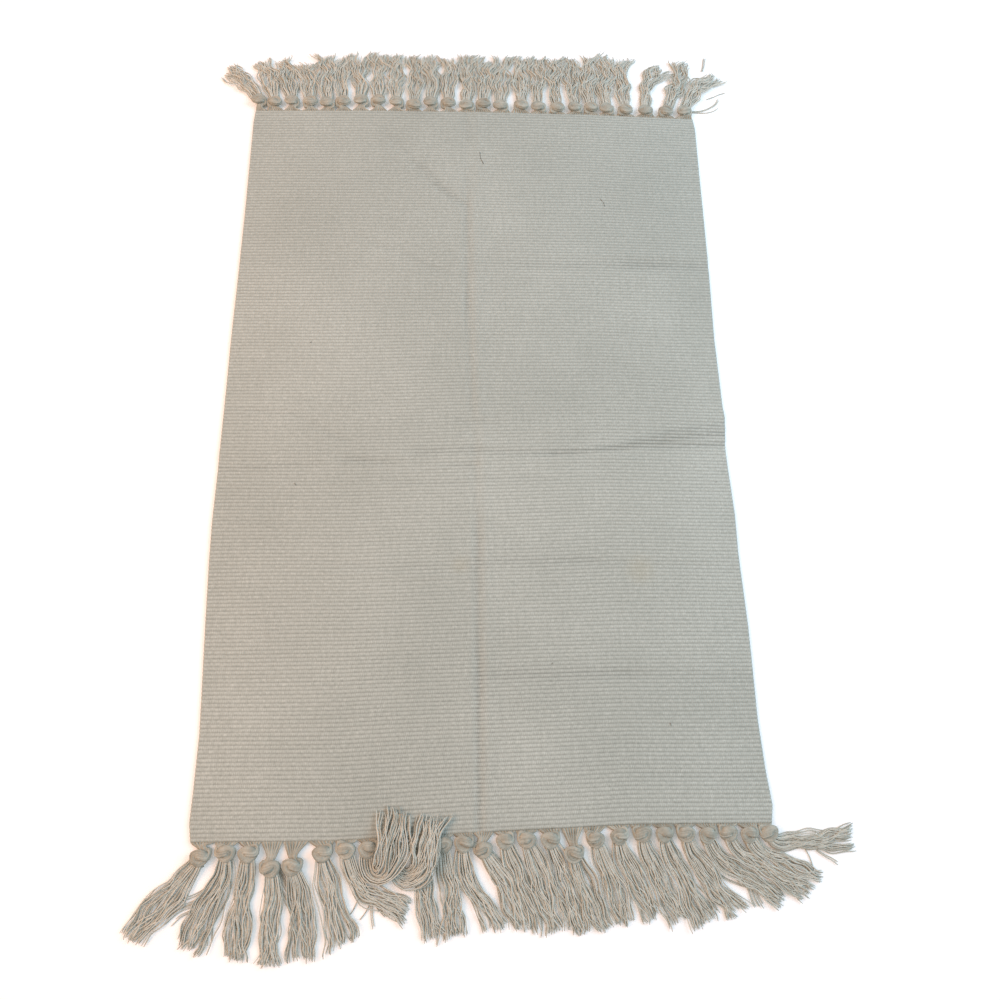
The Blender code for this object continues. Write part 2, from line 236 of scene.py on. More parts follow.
def cotton_repp():
    """Undyed cotton repp, plain woven and unpressed: matt, with a bloom of loose fibre.

    The map's u counts warps and its v counts ribs. Each rib shows warps side by side, and
    the next rib shows the other half of them, so the grain is staggered like bricks.
    """
    material = bpy.data.materials.new("undyed_cotton_repp")
    material.use_nodes = True
    links = material.node_tree.links
    shader = material.node_tree.nodes["Principled BSDF"]
    shader.inputs["Roughness"].default_value = 0.92
    shader.inputs["Specular IOR Level"].default_value = 0.25
    shader.inputs["Sheen Weight"].default_value = 0.12
    shader.inputs["Sheen Roughness"].default_value = 0.5

    # The relief: 1 on a rib's crest or a warp's middle, 0 in the groove or gap beside it.
    uv = add_node(material, "ShaderNodeUVMap", uv_map="weave")
    counts = add_node(material, "ShaderNodeSeparateXYZ", {0: uv})
    warps = counts.outputs["X"]
    ribs = counts.outputs["Y"]
    rib_part = add_node(material, "ShaderNodeMath", {0: ribs}, operation="FRACT")
    rib_turn = add_node(material, "ShaderNodeMath", {0: rib_part, 1: math.pi}, operation="MULTIPLY")
    crest = add_node(material, "ShaderNodeMath", {0: rib_turn}, operation="SINE")
    rib_number = add_node(material, "ShaderNodeMath", {0: ribs}, operation="FLOOR")
    odd_rib = add_node(material, "ShaderNodeMath", {0: rib_number, 1: 2.0}, operation="MODULO")
    staggered = add_node(material, "ShaderNodeMath", {0: odd_rib, 1: 0.5, 2: warps},
                         operation="MULTIPLY_ADD")
    warp_turn = add_node(material, "ShaderNodeMath", {0: staggered, 1: 2 * math.pi},
                         operation="MULTIPLY")
    warp_wave = add_node(material, "ShaderNodeMath", {0: warp_turn}, operation="SINE")
    warp = add_node(material, "ShaderNodeMath", {0: warp_wave, 1: 0.5, 2: 0.5},
                    operation="MULTIPLY_ADD")

    # Short flecks: each warp's shade changes from rib to rib.
    fleck_way = add_node(material, "ShaderNodeMapping", {0: uv, "Scale": (1.6, 1.3, 1.0)})
    fleck = add_node(material, "ShaderNodeTexNoise",
                     {0: fleck_way, "Scale": 1.15, "Detail": 2.0, "Roughness": 0.7})
    # Lengthwise streaks: neighbouring warps differ a little in shade and thickness.
    streak_way = add_node(material, "ShaderNodeMapping", {0: uv, "Scale": (0.37, 0.03, 1.0)})
    streak = add_node(material, "ShaderNodeTexNoise",
                      {0: streak_way, "Scale": 3.0, "Detail": 3.0, "Roughness": 0.65})
    # Crossways: each rib's weft pulls its warps up more or less.
    rib_way = add_node(material, "ShaderNodeMapping", {0: uv, "Scale": (0.01, 0.9, 1.0)})
    rib_tone = add_node(material, "ShaderNodeTexNoise",
                        {0: rib_way, "Scale": 1.0, "Detail": 2.0, "Roughness": 0.6})
    # Object coordinates are in metres: the fuzz has tufts of about 4 mm, and the cloth is
    # soiled in patches of about 200 mm.
    place = add_node(material, "ShaderNodeTexCoord").outputs["Object"]
    fuzz = add_node(material, "ShaderNodeTexNoise",
                    {0: place, "Scale": 240.0, "Detail": 2.0, "Roughness": 0.6})
    soiling = add_node(material, "ShaderNodeTexNoise",
                       {0: place, "Scale": 5.0, "Detail": 3.0, "Roughness": 0.55})
    tone = 0.0
    shares = ((fleck, 0.44), (streak, 0.14), (rib_tone, 0.06), (fuzz, 0.22), (soiling, 0.20))
    for pattern, share in shares:
        tone = add_node(material, "ShaderNodeMath", {0: pattern, 1: share, 2: tone},
                        operation="MULTIPLY_ADD")
    colour = undyed_cotton(material, tone, ((0.37, "999f96"), (0.52, "aeb3aa"), (0.67, "c5cac1")))

    # Painted shade: the cloth's colour is darkened in the groove between two ribs and in the gaps
    # between warps, and painted light makes the crests a little paler.
    round_crest = add_node(material, "ShaderNodeMath", {0: crest, 1: 0.7}, operation="POWER")
    warp_share = add_node(material, "ShaderNodeMath", {0: warp, 1: 0.10, 2: 0.90},
                          operation="MULTIPLY_ADD")
    raised = add_node(material, "ShaderNodeMath", {0: round_crest, 1: warp_share},
                      operation="MULTIPLY")
    shade = add_node(material, "ShaderNodeMapRange",
                     {"Value": raised, "From Min": 0.0, "From Max": 0.9,
                      "To Min": GROOVE_SHADE, "To Max": CREST_SHADE})
    shaded = add_node(material, "ShaderNodeVectorMath", {0: colour, "Scale": shade},
                      operation="SCALE")

    # Painted shade: the grooves, more than the crests, are darkened where the cloth sinks along its
    # fold lines.
    folded = add_node(material, "ShaderNodeAttribute", attribute_name="fold_line").outputs["Fac"]
    groove = add_node(material, "ShaderNodeMath", {0: crest, 1: -1.02, 2: 1.22},
                      operation="MULTIPLY_ADD")
    painted_fold_shade = add_node(material, "ShaderNodeMath", {0: folded, 1: groove}, operation="MULTIPLY")
    fold_shade_factor = add_node(material, "ShaderNodeMath", {0: painted_fold_shade, 1: -FOLD_PAINTED_SHADE, 2: 1.0},
                     operation="MULTIPLY_ADD")
    shaded_and_marked = add_node(material, "ShaderNodeVectorMath", {0: shaded, "Scale": fold_shade_factor},
                      operation="SCALE").outputs[0]

    for across, along, reach, strength in MARKS:
        centre = (across * MM, along * MM, MARK_HEIGHT * MM)
        away = add_node(material, "ShaderNodeVectorMath", {0: place, 1: centre},
                        operation="DISTANCE").outputs["Value"]
        ragged = add_node(material, "ShaderNodeMath", {0: fleck, 1: MARK_RAGGED * MM, 2: away},
                          operation="MULTIPLY_ADD")
        near = add_node(material, "ShaderNodeMapRange",
                        {"Value": ragged, "From Min": reach * MM, "From Max": 0.3 * reach * MM,
                         "To Max": strength}, interpolation_type="SMOOTHSTEP")
        shaded_and_marked = add_node(material, "ShaderNodeMix",
                          {"Factor": near, 6: shaded_and_marked, 7: linear_colour("b3a67f")},
                          data_type="RGBA").outputs[2]
    links.new(shaded_and_marked, shader.inputs["Base Color"])

    # A warp stands a little proud of its neighbours, and a fleck of thick yarn does too.
    rounded = add_node(material, "ShaderNodeMath", {0: warp, 1: crest}, operation="MULTIPLY")
    height = add_node(material, "ShaderNodeMath", {0: fleck, 1: 0.35, 2: rounded},
                      operation="MULTIPLY_ADD")
    bump = add_node(material, "ShaderNodeBump",
                    {"Height": height, "Strength": 0.55, "Distance": WARP_RISE * MM})
    links.new(bump.outputs[0], shader.inputs["Normal"])
    return material


def smooth_step(value):
    """Eases from 0 to 1 as the value does."""
    value = np.clip(value, 0.0, 1.0)
    return value * value * (3.0 - 2.0 * value)


def waves(table, across, along):
    """The sum of some slanting waves, with the columns of ROLLS."""
    return sum(rise * np.sin(across / stretch_x + along / stretch_y + start)
               for rise, stretch_x, stretch_y, start in table)


def fold_lift(across, along):
    """Height that the fold lines give the cloth at each place, and how sunken it is there."""
    lift = np.zeros_like(across)
    sunk = np.zeros_like(across)
    for start_x, start_y, end_x, end_y, rise, half, fade in FOLDS:
        run = math.hypot(end_x - start_x, end_y - start_y)
        way_x = (end_x - start_x) / run
        way_y = (end_y - start_y) / run
        past = (across - start_x) * way_x + (along - start_y) * way_y
        aside = np.abs((across - start_x) * way_y - (along - start_y) * way_x)
        beyond = np.maximum(np.maximum(-past, past - run), 0.0)
        share = (1.0 - smooth_step(aside / half)) * (1.0 - smooth_step(beyond / fade))
        lift += rise * share
        sunk += max(-rise, 0.0) * share
    return lift, np.clip(sunk, 0.0, 1.0)


def mesh_piece(name, corners, faces, material):
    """A smooth mesh object from corner places in millimetres and a list of faces."""
    data = bpy.data.meshes.new(name)
    data.vertices.add(len(corners))
    data.vertices.foreach_set("co", (np.asarray(corners, float) * MM).ravel())
    sizes = np.array([len(face) for face in faces])
    flat = np.concatenate([np.asarray(face) for face in faces])
    data.loops.add(len(flat))
    data.loops.foreach_set("vertex_index", flat.astype(np.int32))
    data.polygons.add(len(sizes))
    starts = np.concatenate([[0], np.cumsum(sizes)[:-1]]).astype(np.int32)
    data.polygons.foreach_set("loop_start", starts)
    data.update(calc_edges=True)
    data.validate()
    data.polygons.foreach_set("use_smooth", np.ones(len(sizes), dtype=bool))
    data.materials.append(material)
    piece = bpy.data.objects.new(name, data)
    bpy.context.scene.collection.objects.link(piece)
    return piece


def cloth_columns(left, right):
    """Places across of the mesh's columns in each row, from one selvedge to the other."""
    left_edge = left[:, None] + EDGE_COLUMNS
    right_edge = right[:, None] - EDGE_COLUMNS[::-1]
    span_left = np.linspace(0, 1, COLUMNS_LEFT + 1)[1:-1]
    span_right = np.linspace(0, 1, COLUMNS_RIGHT + 1)[1:-1]
    inner_left = left_edge[:, -1:] + (FOLD_COLUMNS[0] - left_edge[:, -1:]) * span_left
    inner_right = FOLD_COLUMNS[-1] + (right_edge[:, :1] - FOLD_COLUMNS[-1]) * span_right
    middle = np.broadcast_to(FOLD_COLUMNS, (len(left), len(FOLD_COLUMNS)))
    return np.concatenate([left_edge, inner_left, middle, inner_right, right_edge], axis=1)


def cloth_faces(rows, count):
    """The faces over, under and round a cloth with so many rows and columns of corners.

    The underside has fewer columns. Its first and last rows of faces still meet every
    column of the upper side.
    """
    total = rows * count
    first = (np.arange(rows - 1)[:, None] * count + np.arange(count - 1)[None, :]).ravel()
    upper = np.stack([first, first + 1, first + 1 + count, first + count], axis=1)
    inner = range(len(EDGE_COLUMNS), count - len(EDGE_COLUMNS), UNDERSIDE_STEP)
    kept = np.array([0, 2, 4, *inner, count - 5, count - 3, count - 1])
    row_first = total + np.arange(1, rows - 2)[:, None] * count
    lower = np.stack([row_first + kept[:-1], row_first + kept[:-1] + count,
                      row_first + kept[1:] + count, row_first + kept[1:]], axis=-1).reshape(-1, 4)
    ends = []
    for here, there in zip(kept[:-1], kept[1:]):
        row = total + np.arange(here, there + 1)
        ends.append(np.concatenate([row[::-1], [row[0] + count, row[-1] + count]]))
        row = total + (rows - 1) * count + np.arange(here, there + 1)
        ends.append(np.concatenate([row, [row[-1] - count, row[0] - count]]))
    ring = [row * count for row in range(rows - 1, -1, -1)]
    ring += list(range(1, count))
    ring += [row * count + count - 1 for row in range(1, rows)]
    ring += [(rows - 1) * count + column for column in range(count - 2, 0, -1)]
    ring = np.array(ring)
    following = np.roll(ring, -1)
    walls = np.stack([following, ring, ring + total, following + total], axis=1)
    return list(upper) + list(lower) + list(walls) + ends


def woven_cloth(material):
    """The ribbed sheet, with its folds, closed round its selvedges and ends."""
    rng = np.random.default_rng(7)
    rows = RIB_COUNT * ROWS_PER_RIB + 1
    part = np.arange(rows) / (rows - 1)
    rib = np.arange(rows) / ROWS_PER_RIB
    left = np.interp(part, SIDES[:, 0], SIDES[:, 1])
    right = np.interp(part, SIDES[:, 0], SIDES[:, 2])
    across = cloth_columns(left, right)
    clamped = np.clip(across, ENDS[0, 0], ENDS[-1, 0])
    near_end = np.interp(clamped, ENDS[:, 0], ENDS[:, 1])
    far_end = np.interp(clamped, ENDS[:, 0], ENDS[:, 2])
    along = near_end + (far_end - near_end) * part[:, None]
    hold = smooth_step(np.minimum(part, 1 - part)[:, None] / STRAIGHT_END)
    along = along + waves(RIB_WAVES, across, along) * hold

    # Half the thickness: some ribs are fatter than others, and all thin out at the rims.
    bulge = np.sin(np.pi * (rib % 1.0)) ** RIB_ROUNDNESS
    bulge[-1] = 0.0
    fat = 1.0 + RIB_FATNESS * rng.standard_normal(RIB_COUNT + 1)[np.floor(rib).astype(int)]
    half = TROUGH_HALF + (CREST_HALF - TROUGH_HALF) * (bulge * fat)[:, None]
    side = np.minimum(across - left[:, None], right[:, None] - across)
    side_round = np.sqrt(np.clip(1 - (1 - np.clip(side / SELVEDGE_ROUND, 0, 1)) ** 2, 0, 1))
    half = half * (SELVEDGE_THIN + (1 - SELVEDGE_THIN) * side_round)
    end_round = np.clip(np.minimum(rib, RIB_COUNT - rib) / END_ROUND, 0, 1)[:, None]
    half = half * (END_THIN + (1 - END_THIN) * np.sqrt(end_round))
    scallop = SELVEDGE_SCALLOP * (bulge[:, None] - 0.5) * (1 - np.clip(side / SCALLOP_REACH, 0, 1))
    across = across + np.where(across < 0, -scallop, scallop)

    lift, sunk = fold_lift(across, along)
    centre = CREST_HALF + REST_LIFT + lift + waves(ROLLS, across, along)
    centre = np.maximum(centre, half + FLOOR_CLEARANCE)
    top = np.stack([across, along, centre + half], axis=-1)
    under = np.stack([across, along, centre - half], axis=-1)
    corners = np.concatenate([top.reshape(-1, 3), under.reshape(-1, 3)])
    count = across.shape[1]
    faces = cloth_faces(rows, count)
    # Only the corners that a face meets are kept, and so they are numbered again.
    met = np.unique(np.concatenate(faces))
    number = np.zeros(len(corners), dtype=int)
    number[met] = np.arange(len(met))
    piece = mesh_piece("woven_field_cloth", corners[met], [number[face] for face in faces], material)

    weave = np.stack([(clamped / WARP_PITCH).ravel(), np.repeat(rib, count)], axis=1)
    weave = np.tile(weave, (2, 1))[met]
    layer = piece.data.uv_layers.new(name="weave")
    used = np.empty(len(piece.data.loops), dtype=np.int32)
    piece.data.loops.foreach_get("vertex_index", used)
    layer.data.foreach_set("uv", weave[used].ravel())
    # The painted shade of the sunken fold lines lies on the upper side alone.
    folded = np.concatenate([sunk.ravel(), np.zeros(sunk.size)])[met]
    piece.data.attributes.new("fold_line", "FLOAT", "POINT").data.foreach_set("value", folded)
    return piece


cloth = woven_cloth(cotton_repp())
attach(cloth, "root")
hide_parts("woven_field")


# Lint
# Two dark hairs and a few specks of fluff, caught on the upper side of the cloth. They
# only rest on its ribs. Sizes in millimetres.
LINT_RADIUS = 0.28
LINT_HEIGHT = 4.15
# Each row holds the places that one hair passes, across and along.
LINT = (
    ((6, 389), (6.5, 379), (10.5, 370)),
    ((164, 318), (168.5, 312), (170, 305)),
    ((-214, -76), (-212, -79)),
    ((-205, 104), (-203, 105)),
    ((182, 1), (184, -1)),
    ((279, -78), (281, -77)),
    ((75, -286), (77, -284)),
    ((201, -350), (202, -353)),
)


def lint_piece(material):
    """Each hair is a closed three-sided strip with a flat side down."""
    corners = []
    faces = []
    for places in LINT:
        first = len(corners)
        places = np.array(places, float)
        way = np.gradient(places, axis=0)
        way /= np.linalg.norm(way, axis=1, keepdims=True)
        for (x, y), (way_x, way_y) in zip(places, way):
            corners += [(x - way_y * LINT_RADIUS, y + way_x * LINT_RADIUS, LINT_HEIGHT),
                        (x + way_y * LINT_RADIUS, y - way_x * LINT_RADIUS, LINT_HEIGHT),
                        (x, y, LINT_HEIGHT + LINT_RADIUS)]
        for ring in range(len(places) - 1):
            a = first + 3 * ring
            faces += [(a, a + 3, a + 4, a + 1), (a + 1, a + 4, a + 5, a + 2), (a + 2, a + 5, a + 3, a)]
        last = len(corners) - 3
        faces += [(first, first + 1, first + 2), (last, last + 2, last + 1)]
    return mesh_piece("lint_hairs", corners, faces, material)


# A dull brown, a little glossier than the cotton
lint_brown = bpy.data.materials.new("dark_hair")
lint_brown.use_nodes = True
lint_shader = lint_brown.node_tree.nodes["Principled BSDF"]
lint_shader.inputs["Base Color"].default_value = linear_colour("6d6455")
lint_shader.inputs["Roughness"].default_value = 0.7
lint = lint_piece(lint_brown)
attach(lint, "root")


# Fringe
# The cloth's own warps go on past its ends. They are gathered a thumb's width at a time
# into overhand knots, and then lie as loose two-ply cotton yarns, cut to uneven lengths.
LEAST_DROP = 8.0

# The knot, in millimetres: a band of strands side by side. Its turns are widened and
# stretched by chance within these limits, and lean one and a half times as far as the
# tassel's row says. A long neck shows one more station of the course than a short one.
KNOT_STRANDS = 14
STRAND_RADIUS = 1.25
STRAND_POINTS = 34
STRAND_UNEVEN = 0.06
BAND_HALF_WIDTH = 4.0
BAND_HALF_HEIGHT = 1.7
KNOT_WIDENED = (0.92, 1.12)
KNOT_STRETCHED = (1.30, 1.50)
KNOT_LEAN = 1.5
LONG_NECK = 12.0

# The tail, in millimetres: 45 yarns, each about 1.2 mm thick, in five locks that lie in
# three layers.
LOCKS = 5
YARNS_PER_LOCK = 9
YARN_RADIUS = 0.59
YARN_SIDES = 5
YARN_TIP = 0.55
TAIL_POINTS = 23
LOCK_SPREAD = 0.84
YARN_SPREAD = 0.42
LAYERS = 3
LAYER_RISE = 1.25
KNOT_EXIT = 4.4
KNOT_EXIT_LAYER = 1.5
CURL_START = 0.66
WHOLE_TURN = 2 * math.pi
# How a lock wanders from its line, and how each yarn does besides. Columns: reach, more
# reach where the yarns are crumpled, length of a wave.
LOCK_WAVES = (
    (1.60, 2.20, 74.0),
    (0.35, 1.30, 37.0),
    (0.15, 1.50, 24.0),
)
YARN_WAVES = (
    (0.85, 0.00, 58.0),
    (0.20, 0.55, 21.0),
)
RIPPLE_WAVE = 23.0
# Where a tail's width is given, from its knot (0) to its tip (1), and the widths at the
# first places. The others follow from the tassel's own width.
LYING_PLACES = np.array((0.0, 0.10, 0.30, 1.0))
LYING_THROAT = (10.0, 14.5)
LYING_TIP = 1.24
LYING_POINTS = 40
TURNED_PLACES = np.array((0.0, 0.10, 0.30, 0.55, 1.0))
TURNED_THROAT = (11.0, 16.0, 17.0)
TURNED_POINTS = 60

# The way that the gathered warps take through one overhand knot, tied to the right: down,
# round to the left, slanting back over the front, round behind and out at the bottom.
# Columns: across, away from the cloth, height over the floor.
KNOT_COURSE = np.array((
    (0.0, -9.0, 3.0),
    (0.4, -6.0, 3.0),
    (2.2, -2.6, 3.4),
    (4.4, 0.6, 4.2),
    (2.4, 3.1, 5.0),
    (-2.2, 3.2, 5.8),
    (-5.2, 1.4, 6.6),
    (-3.0, -0.5, 7.6),
    (2.0, -1.7, 7.7),
    (5.4, -3.0, 6.2),
    (4.6, -4.6, 3.8),
    (0.6, -2.0, 2.8),
    (-0.6, 3.0, 2.8),
    (0.2, 7.6, 3.2),
))

# Columns: number from the left, place of the knot across, drop of the knot from the
# cloth's end, lean of the yarns at the knot and at the tip (degrees, towards +X), the
# part of the length over which the lean changes, length of the yarns, width of the
# bundle, turn of the knot (degrees, less than 0 on a knot tied to the left).
TASSELS_NEAR = (
    (1, -285.6, 12.5, -35, -41, 0.30, 94, 25, 24),
    (2, -261.1, 9.0, 4, -26, 0.45, 92, 25, -20),
    (3, -238.3, 9.8, -3, -5, 0.20, 92, 19, 16),
    (4, -216.0, 23.8, 10, 0, 0.30, 86, 18, -26),
    (5, -194.5, 22.2, 20, 8, 0.50, 86, 22, 28),
    (6, -164.6, 10.0, 9, 16, 0.20, 88, 25, 14),
    (7, -141.7, 8.0, 10, 65, 0.70, 92, 16, -18),
    (10, -69.0, 8.0, 7, 14, 0.80, 86, 17, 20),
    (11, -43.6, 8.2, 8, 8, 0.50, 86, 18, -22),
    (12, -22.1, 8.2, -4, 36, 0.60, 86, 19, 24),
    (13, -3.0, 15.5, 34, 24, 1.00, 82, 20, -28),
    (14, 20.0, 8.0, 16, 24, 0.30, 88, 20, 18),
    (15, 42.0, 8.4, 24, 15, 1.00, 88, 21, -16),
    (16, 66.4, 9.3, 24, 17, 1.00, 90, 21, 22),
    (17, 90.0, 24.0, 20, 19, 1.00, 76, 20, 26),
    (18, 113.0, 11.6, 18, 20, 1.00, 82, 21, -20),
    (19, 138.2, 9.5, 3, 28, 0.40, 82, 21, 16),
    (20, 162.4, 8.4, 5, 28, 0.40, 88, 21, -24),
    (21, 185.6, 8.4, 5, 27, 0.30, 92, 21, 20),
    (22, 207.8, 8.4, 11, 36, 0.40, 90, 20, -18),
    (23, 230.9, 9.5, 18, 56, 0.42, 98, 15, 24),
    (24, 252.8, 8.2, 20, 58, 0.36, 96, 15, -22),
    (25, 275.0, 9.2, 22, 64, 0.42, 84, 15, 18),
    (26, 295.5, 8.2, 22, 92, 0.24, 94, 18, -26),
)
TASSELS_FAR = (
    (1, -290.0, 15.0, -30, -44, 0.50, 70, 22, 20),
    (2, -269.5, 12.0, -12, -22, 1.00, 72, 23, -24),
    (3, -246.1, 13.5, -12, -15, 1.00, 72, 23, 18),
    (4, -221.8, 12.5, -5, -12, 0.40, 68, 24, -16),
    (5, -199.2, 10.5, -5, -4, 1.00, 82, 21, 22),
    (6, -178.4, 13.0, -1, -3, 0.30, 78, 21, -20),
    (7, -154.0, 15.0, -1, -3, 1.00, 77, 23, 26),
    (8, -131.0, 15.0, -1, 1, 1.00, 81, 23, -18),
    (9, -106.0, 12.9, -3, 0, 0.40, 84, 23, 16),
    (10, -82.8, 8.6, 4, -3, 1.00, 84, 22, -24),
    (11, -59.8, 13.0, 4, -3, 1.00, 78, 22, 20),
    (12, -36.0, 12.5, 1, 4, 0.40, 78, 23, -22),
    (13, -11.2, 8.6, 3, 4, 0.30, 88, 22, 24),
    (14, 11.6, 12.0, 3, 5, 0.30, 76, 21, -16),
    (15, 35.5, 9.2, 1, 4, 0.90, 86, 22, 18),
    (16, 64.0, 11.3, -2, 3, 1.00, 86, 22, -26),
    (17, 87.5, 9.0, 0, 3, 1.00, 89, 23, 20),
    (18, 113.3, 8.6, -3, 1, 1.00, 89, 23, -18),
    (19, 138.0, 9.1, -4, 2, 0.80, 86, 22, 22),
    (20, 160.4, 9.8, -4, 3, 0.70, 90, 21, -20),
    (21, 182.0, 9.0, -4, 3, 0.30, 88, 21, 16),
    (22, 208.0, 8.6, -2, 1, 0.60, 86, 23, -24),
    (23, 236.0, 8.6, 1, 24, 0.70, 84, 21, 18),
    (24, 264.5, 9.5, 24, 18, 1.00, 88, 20, -22),
    (25, 290.5, 10.5, 20, 42, 0.60, 82, 21, 26),
)

# Two near tassels double back and lie over the cloth. Columns: number, place of the knot
# across, drop, width of the bundle, slant of the knot's turns, then the stations that the
# yarns pass through: across, along, height of their underside.
TASSELS_TURNED = (
    (8, -119.0, 8.0, 31.0, 18, (
        (-118.6, -480.0, 0.0),
        (-115.4, -489.0, 1.6),
        (-108.0, -491.0, 4.2),
        (-101.0, -483.5, 7.6),
        (-95.5, -467.0, 11.4),
        (-92.0, -454.0, 8.4),
        (-90.5, -445.0, 4.6),
        (-88.5, -431.0, 4.4),
    )),
    (9, -94.6, 8.0, 25.0, -20, (
        (-93.6, -480.0, 0.0),
        (-90.0, -489.0, 1.0),
        (-82.0, -494.0, 2.4),
        (-73.0, -492.5, 4.6),
        (-65.0, -485.5, 8.6),
        (-60.0, -470.0, 12.0),
        (-57.0, -454.0, 8.8),
        (-55.6, -445.0, 4.6),
        (-54.0, -436.0, 4.4),
    )),
)

# Yarns that have strayed from their tassel. Columns: end, tassel's number, how many lie
# side by side, then the places they pass: across, along.
STRAYS = (
    ("near", 7, 2, ((-120, -504), (-115, -518), (-114, -529), (-111, -544))),
    ("near", 7, 1, ((-124, -506), (-129, -514), (-133, -522), (-137, -527))),
    ("near", 7, 2, ((-114, -511), (-110, -519), (-106, -524), (-98, -532))),
    ("near", 7, 1, ((-116, -512), (-118, -519), (-122, -525), (-128, -531))),
    ("near", 7, 1, ((-104, -512), (-100, -518), (-97, -524), (-95, -531))),
    ("near", 26, 1, ((334, -480), (338, -487), (341, -499), (341, -513))),
    ("near", 26, 2, ((346, -481), (354, -486), (362, -490), (369, -495))),
    ("near", 25, 6, ((268, -503), (272, -514), (276, -526), (281, -535))),
    ("near", 23, 2, ((231, -490), (242, -502), (258, -510), (272, -514))),
    ("near", 23, 2, ((250, -490), (256, -499), (262, -504), (270, -508))),
    ("near", 4, 8, ((-212, -481), (-203, -497), (-192, -514), (-180, -528))),
    ("near", 2, 9, ((-264, -482), (-272, -499), (-288, -510), (-304, -516), (-318, -527))),
    ("near", 2, 6, ((-262, -495), (-268, -513), (-272, -530), (-273, -549))),
    ("far", 25, 2, ((300, 466), (318, 468), (336, 478), (345, 492))),
    ("far", 25, 1, ((299, 465), (321, 465), (334, 469), (342, 476))),
    ("far", 25, 1, ((326, 488), (336, 492), (346, 497), (357, 500))),
    ("far", 25, 2, ((324, 537), (327, 545), (329, 554), (331, 562))),
)
STRAY_PITCH = 1.5
STRAY_POINTS = 20


def cotton_yarn():
    """Undyed two-ply cotton yarn, spun and loosely twisted: matt and a little hairy.

    The map's u runs along a yarn in millimetres and its v goes once round it.
    """
    material = bpy.data.materials.new("undyed_cotton_yarn")
    material.use_nodes = True
    links = material.node_tree.links
    shader = material.node_tree.nodes["Principled BSDF"]
    shader.inputs["Roughness"].default_value = 0.93
    shader.inputs["Specular IOR Level"].default_value = 0.22
    shader.inputs["Sheen Weight"].default_value = 0.15
    shader.inputs["Sheen Roughness"].default_value = 0.5
    # Each yarn has its own shade, with painted shade on the lower layers of a tail, and paler patches
    # of about 6 mm. Object coordinates are in metres.
    own_shade = add_node(material, "ShaderNodeAttribute", attribute_name="yarn_shade").outputs["Fac"]
    place = add_node(material, "ShaderNodeTexCoord").outputs["Object"]
    patch = add_node(material, "ShaderNodeTexNoise", {0: place, "Scale": 160.0, "Detail": 2.0})
    tone = add_node(material, "ShaderNodeMath", {0: patch, 1: 0.5, 2: own_shade},
                    operation="MULTIPLY_ADD")
    colour = undyed_cotton(material, tone, ((0.10, "8b897b"), (0.50, "b9b8aa"), (0.95, "d5d5c9")))
    links.new(colour.outputs[0], shader.inputs["Base Color"])
    # The twist makes one full turn in about 5 mm, and shows as two slanting plies.
    uv = add_node(material, "ShaderNodeUVMap", uv_map="yarn")
    twist_way = add_node(material, "ShaderNodeMapping", {0: uv, "Scale": (1 / 5.0, 1.0, 1.0)})
    twist = add_node(material, "ShaderNodeTexWave",
                     {0: twist_way, "Scale": 1.0, "Distortion": 0.6, "Detail": 1.0},
                     wave_type="BANDS", bands_direction="DIAGONAL", wave_profile="SIN")
    bump = add_node(material, "ShaderNodeBump",
                    {"Height": twist.outputs["Fac"], "Strength": 0.6, "Distance": 0.25 * MM})
    links.new(bump.outputs[0], shader.inputs["Normal"])
    return material


def smooth_path(points, steps):
    """A Catmull-Rom line through points, read at even steps."""
    points = np.asarray(points, float)
    padded = np.concatenate([[2 * points[0] - points[1]], points, [2 * points[-1] - points[-2]]])
    t = (np.arange(8) / 8)[:, None]
    fine = []
    for index in range(len(points) - 1):
        a, b, c, d = padded[index:index + 4]
        fine.append(0.5 * (2 * b + (c - a) * t + (2 * a - 5 * b + 4 * c - d) * t ** 2
                           + (3 * b - a - 3 * c + d) * t ** 3))
    fine = np.concatenate(fine + [points[-1:]])
    run = path_length(fine)
    at = np.linspace(0, run[-1], steps)
    return np.stack([np.interp(at, run, fine[:, axis]) for axis in range(3)], axis=1)


def path_length(points):
    """How far along a line each of its points is."""
    steps = np.linalg.norm(np.diff(points, axis=0), axis=1)
    return np.concatenate([[0], np.cumsum(steps)])


def directions(points):
    """The way along a line, and the level direction square to it, at each of its points."""
    way = np.gradient(points, axis=0)
    way /= np.maximum(np.linalg.norm(way, axis=1, keepdims=True), 1e-9)
    side = np.stack([way[:, 1], -way[:, 0], np.zeros(len(way))], axis=1)
    side /= np.maximum(np.linalg.norm(side, axis=1, keepdims=True), 1e-9)
    return way, side


